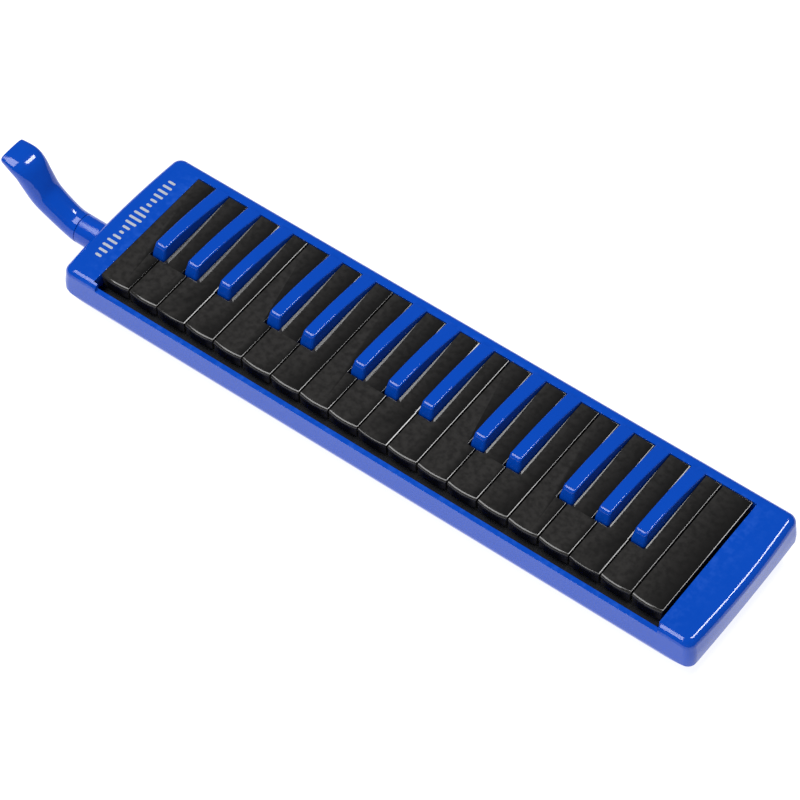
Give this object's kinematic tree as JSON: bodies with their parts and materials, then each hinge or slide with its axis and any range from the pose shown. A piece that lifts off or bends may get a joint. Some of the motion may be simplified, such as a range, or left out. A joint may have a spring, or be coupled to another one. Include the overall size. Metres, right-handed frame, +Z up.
{
  "type": "melodica",
  "caption": "Keyboard wind instrument: a slim rounded case holds sprung black and blue keys over brass reeds, with a curved mouthpiece that plugs into its end.",
  "frame": {"origin": "Middle of the whole outline, mouthpiece included, at the height of the flat underside.", "axes": "+X runs from the low notes to the high notes, +Y from the player's edge to the rear edge, +Z up."},
  "size_m": [0.4938, 0.1054, 0.0551],
  "materials": {
    "blue_plastic": "glossy moulded",
    "black_plastic": "satin moulded",
    "bed_plastic": "matte moulded",
    "steel": "plated",
    "brass": "stamped sheet",
    "rubber": "matte",
    "felt": "pressed felt",
    "strap_webbing": "woven webbing"
  },
  "bodies": {
    "case": {"air_chamber_tray": "bed_plastic", "blow_socket": "blue_plastic", "bottom_cover": "blue_plastic", "case_screw_1": "steel", "case_screw_2": "steel", "case_screw_3": "steel", "case_screw_4": "steel", "case_screw_5": "steel", "case_screw_6": "steel", "chamber_gasket": "rubber", "drain_spring": "steel", "hand_strap": "strap_webbing", "key_axle": "steel", "key_bed": "bed_plastic", "key_spring_comb": "steel", "key_stop_felt": "felt", "reed_cell_gasket": "rubber", "reed_plate_high": "brass", "reed_plate_low": "brass", "strap_anchor_left": "bed_plastic", "strap_anchor_right": "bed_plastic", "top_cover": "blue_plastic", "wind_elbow": "bed_plastic"},
    "key_F3": {"key_F3": "black_plastic"},
    "key_Fsharp3": {"key_Fsharp3": "blue_plastic"},
    "key_G3": {"key_G3": "black_plastic"},
    "key_Gsharp3": {"key_Gsharp3": "blue_plastic"},
    "key_A3": {"key_A3": "black_plastic"},
    "key_Asharp3": {"key_Asharp3": "blue_plastic"},
    "key_B3": {"key_B3": "black_plastic"},
    "key_C4": {"key_C4": "black_plastic"},
    "key_Csharp4": {"key_Csharp4": "blue_plastic"},
    "key_D4": {"key_D4": "black_plastic"},
    "key_Dsharp4": {"key_Dsharp4": "blue_plastic"},
    "key_E4": {"key_E4": "black_plastic"},
    "key_F4": {"key_F4": "black_plastic"},
    "key_Fsharp4": {"key_Fsharp4": "blue_plastic"},
    "key_G4": {"key_G4": "black_plastic"},
    "key_Gsharp4": {"key_Gsharp4": "blue_plastic"},
    "key_A4": {"key_A4": "black_plastic"},
    "key_Asharp4": {"key_Asharp4": "blue_plastic"},
    "key_B4": {"key_B4": "black_plastic"},
    "key_C5": {"key_C5": "black_plastic"},
    "key_Csharp5": {"key_Csharp5": "blue_plastic"},
    "key_D5": {"key_D5": "black_plastic"},
    "key_Dsharp5": {"key_Dsharp5": "blue_plastic"},
    "key_E5": {"key_E5": "black_plastic"},
    "key_F5": {"key_F5": "black_plastic"},
    "key_Fsharp5": {"key_Fsharp5": "blue_plastic"},
    "key_G5": {"key_G5": "black_plastic"},
    "key_Gsharp5": {"key_Gsharp5": "blue_plastic"},
    "key_A5": {"key_A5": "black_plastic"},
    "key_Asharp5": {"key_Asharp5": "blue_plastic"},
    "key_B5": {"key_B5": "black_plastic"},
    "key_C6": {"key_C6": "black_plastic"},
    "mouthpiece_seal": {"mouthpiece_seal": "rubber"},
    "mouthpiece": {"mouthpiece": "blue_plastic"},
    "water_key": {"drain_button": "blue_plastic", "drain_seal": "rubber"}
  },
  "joints": [
    {"name": "key_F3_press", "type": "hinge", "parent": "case", "child": "key_F3", "pos_m": [-0.15285, 0.019, 0.026], "axis": [1, 0, 0], "range_deg": [0, 3.5], "stiffness_Nm_per_rad": 0.1, "springref_deg": -17.19},
    {"name": "key_Fsharp3_press", "type": "hinge", "parent": "case", "child": "key_Fsharp3", "pos_m": [-0.1415, 0.019, 0.026], "axis": [1, 0, 0], "range_deg": [0, 3.5], "stiffness_Nm_per_rad": 0.1, "springref_deg": -17.19},
    {"name": "key_G3_press", "type": "hinge", "parent": "case", "child": "key_G3", "pos_m": [-0.1299, 0.019, 0.026], "axis": [1, 0, 0], "range_deg": [0, 3.5], "stiffness_Nm_per_rad": 0.1, "springref_deg": -17.19},
    {"name": "key_Gsharp3_press", "type": "hinge", "parent": "case", "child": "key_Gsharp3", "pos_m": [-0.1183, 0.019, 0.026], "axis": [1, 0, 0], "range_deg": [0, 3.5], "stiffness_Nm_per_rad": 0.1, "springref_deg": -17.19},
    {"name": "key_A3_press", "type": "hinge", "parent": "case", "child": "key_A3", "pos_m": [-0.1067, 0.019, 0.026], "axis": [1, 0, 0], "range_deg": [0, 3.5], "stiffness_Nm_per_rad": 0.1, "springref_deg": -17.19},
    {"name": "key_Asharp3_press", "type": "hinge", "parent": "case", "child": "key_Asharp3", "pos_m": [-0.0951, 0.019, 0.026], "axis": [1, 0, 0], "range_deg": [0, 3.5], "stiffness_Nm_per_rad": 0.1, "springref_deg": -17.19},
    {"name": "key_B3_press", "type": "hinge", "parent": "case", "child": "key_B3", "pos_m": [-0.08495, 0.019, 0.026], "axis": [1, 0, 0], "range_deg": [0, 3.5], "stiffness_Nm_per_rad": 0.1, "springref_deg": -17.19},
    {"name": "key_C4_press", "type": "hinge", "parent": "case", "child": "key_C4", "pos_m": [-0.07205, 0.019, 0.026], "axis": [1, 0, 0], "range_deg": [0, 3.5], "stiffness_Nm_per_rad": 0.1, "springref_deg": -17.19},
    {"name": "key_Csharp4_press", "type": "hinge", "parent": "case", "child": "key_Csharp4", "pos_m": [-0.0599, 0.019, 0.026], "axis": [1, 0, 0], "range_deg": [0, 3.5], "stiffness_Nm_per_rad": 0.1, "springref_deg": -17.19},
    {"name": "key_D4_press", "type": "hinge", "parent": "case", "child": "key_D4", "pos_m": [-0.04825, 0.019, 0.026], "axis": [1, 0, 0], "range_deg": [0, 3.5], "stiffness_Nm_per_rad": 0.1, "springref_deg": -17.19},
    {"name": "key_Dsharp4_press", "type": "hinge", "parent": "case", "child": "key_Dsharp4", "pos_m": [-0.0366, 0.019, 0.026], "axis": [1, 0, 0], "range_deg": [0, 3.5], "stiffness_Nm_per_rad": 0.1, "springref_deg": -17.19},
    {"name": "key_E4_press", "type": "hinge", "parent": "case", "child": "key_E4", "pos_m": [-0.0257, 0.019, 0.026], "axis": [1, 0, 0], "range_deg": [0, 3.5], "stiffness_Nm_per_rad": 0.1, "springref_deg": -17.19},
    {"name": "key_F4_press", "type": "hinge", "parent": "case", "child": "key_F4", "pos_m": [-0.01285, 0.019, 0.026], "axis": [1, 0, 0], "range_deg": [0, 3.5], "stiffness_Nm_per_rad": 0.1, "springref_deg": -17.19},
    {"name": "key_Fsharp4_press", "type": "hinge", "parent": "case", "child": "key_Fsharp4", "pos_m": [-0.0015, 0.019, 0.026], "axis": [1, 0, 0], "range_deg": [0, 3.5], "stiffness_Nm_per_rad": 0.1, "springref_deg": -17.19},
    {"name": "key_G4_press", "type": "hinge", "parent": "case", "child": "key_G4", "pos_m": [0.0101, 0.019, 0.026], "axis": [1, 0, 0], "range_deg": [0, 3.5], "stiffness_Nm_per_rad": 0.1, "springref_deg": -17.19},
    {"name": "key_Gsharp4_press", "type": "hinge", "parent": "case", "child": "key_Gsharp4", "pos_m": [0.0217, 0.019, 0.026], "axis": [1, 0, 0], "range_deg": [0, 3.5], "stiffness_Nm_per_rad": 0.1, "springref_deg": -17.19},
    {"name": "key_A4_press", "type": "hinge", "parent": "case", "child": "key_A4", "pos_m": [0.0333, 0.019, 0.026], "axis": [1, 0, 0], "range_deg": [0, 3.5], "stiffness_Nm_per_rad": 0.1, "springref_deg": -17.19},
    {"name": "key_Asharp4_press", "type": "hinge", "parent": "case", "child": "key_Asharp4", "pos_m": [0.0449, 0.019, 0.026], "axis": [1, 0, 0], "range_deg": [0, 3.5], "stiffness_Nm_per_rad": 0.1, "springref_deg": -17.19},
    {"name": "key_B4_press", "type": "hinge", "parent": "case", "child": "key_B4", "pos_m": [0.05505, 0.019, 0.026], "axis": [1, 0, 0], "range_deg": [0, 3.5], "stiffness_Nm_per_rad": 0.1, "springref_deg": -17.19},
    {"name": "key_C5_press", "type": "hinge", "parent": "case", "child": "key_C5", "pos_m": [0.06795, 0.019, 0.026], "axis": [1, 0, 0], "range_deg": [0, 3.5], "stiffness_Nm_per_rad": 0.1, "springref_deg": -17.19},
    {"name": "key_Csharp5_press", "type": "hinge", "parent": "case", "child": "key_Csharp5", "pos_m": [0.0801, 0.019, 0.026], "axis": [1, 0, 0], "range_deg": [0, 3.5], "stiffness_Nm_per_rad": 0.1, "springref_deg": -17.19},
    {"name": "key_D5_press", "type": "hinge", "parent": "case", "child": "key_D5", "pos_m": [0.09175, 0.019, 0.026], "axis": [1, 0, 0], "range_deg": [0, 3.5], "stiffness_Nm_per_rad": 0.1, "springref_deg": -17.19},
    {"name": "key_Dsharp5_press", "type": "hinge", "parent": "case", "child": "key_Dsharp5", "pos_m": [0.1034, 0.019, 0.026], "axis": [1, 0, 0], "range_deg": [0, 3.5], "stiffness_Nm_per_rad": 0.1, "springref_deg": -17.19},
    {"name": "key_E5_press", "type": "hinge", "parent": "case", "child": "key_E5", "pos_m": [0.1143, 0.019, 0.026], "axis": [1, 0, 0], "range_deg": [0, 3.5], "stiffness_Nm_per_rad": 0.1, "springref_deg": -17.19},
    {"name": "key_F5_press", "type": "hinge", "parent": "case", "child": "key_F5", "pos_m": [0.12715, 0.019, 0.026], "axis": [1, 0, 0], "range_deg": [0, 3.5], "stiffness_Nm_per_rad": 0.1, "springref_deg": -17.19},
    {"name": "key_Fsharp5_press", "type": "hinge", "parent": "case", "child": "key_Fsharp5", "pos_m": [0.1385, 0.019, 0.026], "axis": [1, 0, 0], "range_deg": [0, 3.5], "stiffness_Nm_per_rad": 0.1, "springref_deg": -17.19},
    {"name": "key_G5_press", "type": "hinge", "parent": "case", "child": "key_G5", "pos_m": [0.1501, 0.019, 0.026], "axis": [1, 0, 0], "range_deg": [0, 3.5], "stiffness_Nm_per_rad": 0.1, "springref_deg": -17.19},
    {"name": "key_Gsharp5_press", "type": "hinge", "parent": "case", "child": "key_Gsharp5", "pos_m": [0.1617, 0.019, 0.026], "axis": [1, 0, 0], "range_deg": [0, 3.5], "stiffness_Nm_per_rad": 0.1, "springref_deg": -17.19},
    {"name": "key_A5_press", "type": "hinge", "parent": "case", "child": "key_A5", "pos_m": [0.1733, 0.019, 0.026], "axis": [1, 0, 0], "range_deg": [0, 3.5], "stiffness_Nm_per_rad": 0.1, "springref_deg": -17.19},
    {"name": "key_Asharp5_press", "type": "hinge", "parent": "case", "child": "key_Asharp5", "pos_m": [0.1849, 0.019, 0.026], "axis": [1, 0, 0], "range_deg": [0, 3.5], "stiffness_Nm_per_rad": 0.1, "springref_deg": -17.19},
    {"name": "key_B5_press", "type": "hinge", "parent": "case", "child": "key_B5", "pos_m": [0.19505, 0.019, 0.026], "axis": [1, 0, 0], "range_deg": [0, 3.5], "stiffness_Nm_per_rad": 0.1, "springref_deg": -17.19},
    {"name": "key_C6_press", "type": "hinge", "parent": "case", "child": "key_C6", "pos_m": [0.2105, 0.019, 0.026], "axis": [1, 0, 0], "range_deg": [0, 3.5], "stiffness_Nm_per_rad": 0.1, "springref_deg": -17.19},
    {"name": "mouthpiece_pull", "type": "slide", "parent": "case", "child": "mouthpiece_seal", "axis": [-1, 0, 0], "range_m": [0, 0.02]},
    {"name": "mouthpiece_turn", "type": "hinge", "parent": "mouthpiece_seal", "child": "mouthpiece", "pos_m": [-0.1965, -0.015, 0.0191], "axis": [1, 0, 0], "range_deg": [-90, 90]},
    {"name": "water_key_push", "type": "slide", "parent": "case", "child": "water_key", "axis": [0, 0, 1], "range_m": [0, 0.002], "stiffness_N_per_m": 400, "springref_m": -0.002, "deforming": ["drain_spring"]}
  ]
}
